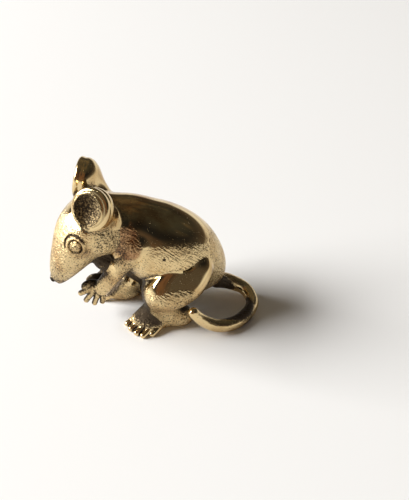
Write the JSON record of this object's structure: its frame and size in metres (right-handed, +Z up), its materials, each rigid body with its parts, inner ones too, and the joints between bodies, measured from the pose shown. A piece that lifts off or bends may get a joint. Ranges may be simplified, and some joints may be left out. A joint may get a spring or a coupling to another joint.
{
  "type": "animal figurine",
  "caption": "Small polished brass rat that stands hunched on its hind feet with its forepaws together under its chin and its tail curled round on the ground.",
  "frame": {"origin": "middle of the box round the figurine, on the surface that it stands on", "axes": "+Z up; the rat faces -X, its tail curls at +X and its left side is on -Y"},
  "size_m": [0.0348, 0.0192, 0.0276],
  "materials": {
    "polished_brass": "hand-polished casting with dark patina in the hollows",
    "worn_brass": "polished on the high places, with patina between the fingers and toes",
    "darkened_brass": "rough cast in the hollow of the ear, polished on its rim"
  },
  "bodies": {
    "root": {"body": "polished_brass", "head": "polished_brass", "tail": "worn_brass", "left_ear": "darkened_brass", "right_ear": "darkened_brass", "left_eye": "worn_brass", "right_eye": "worn_brass", "left_foreleg": "worn_brass", "right_foreleg": "worn_brass", "left_hind_leg": "polished_brass", "right_hind_leg": "polished_brass", "left_hind_foot": "worn_brass", "right_hind_foot": "worn_brass"}
  },
  "joints": []
}
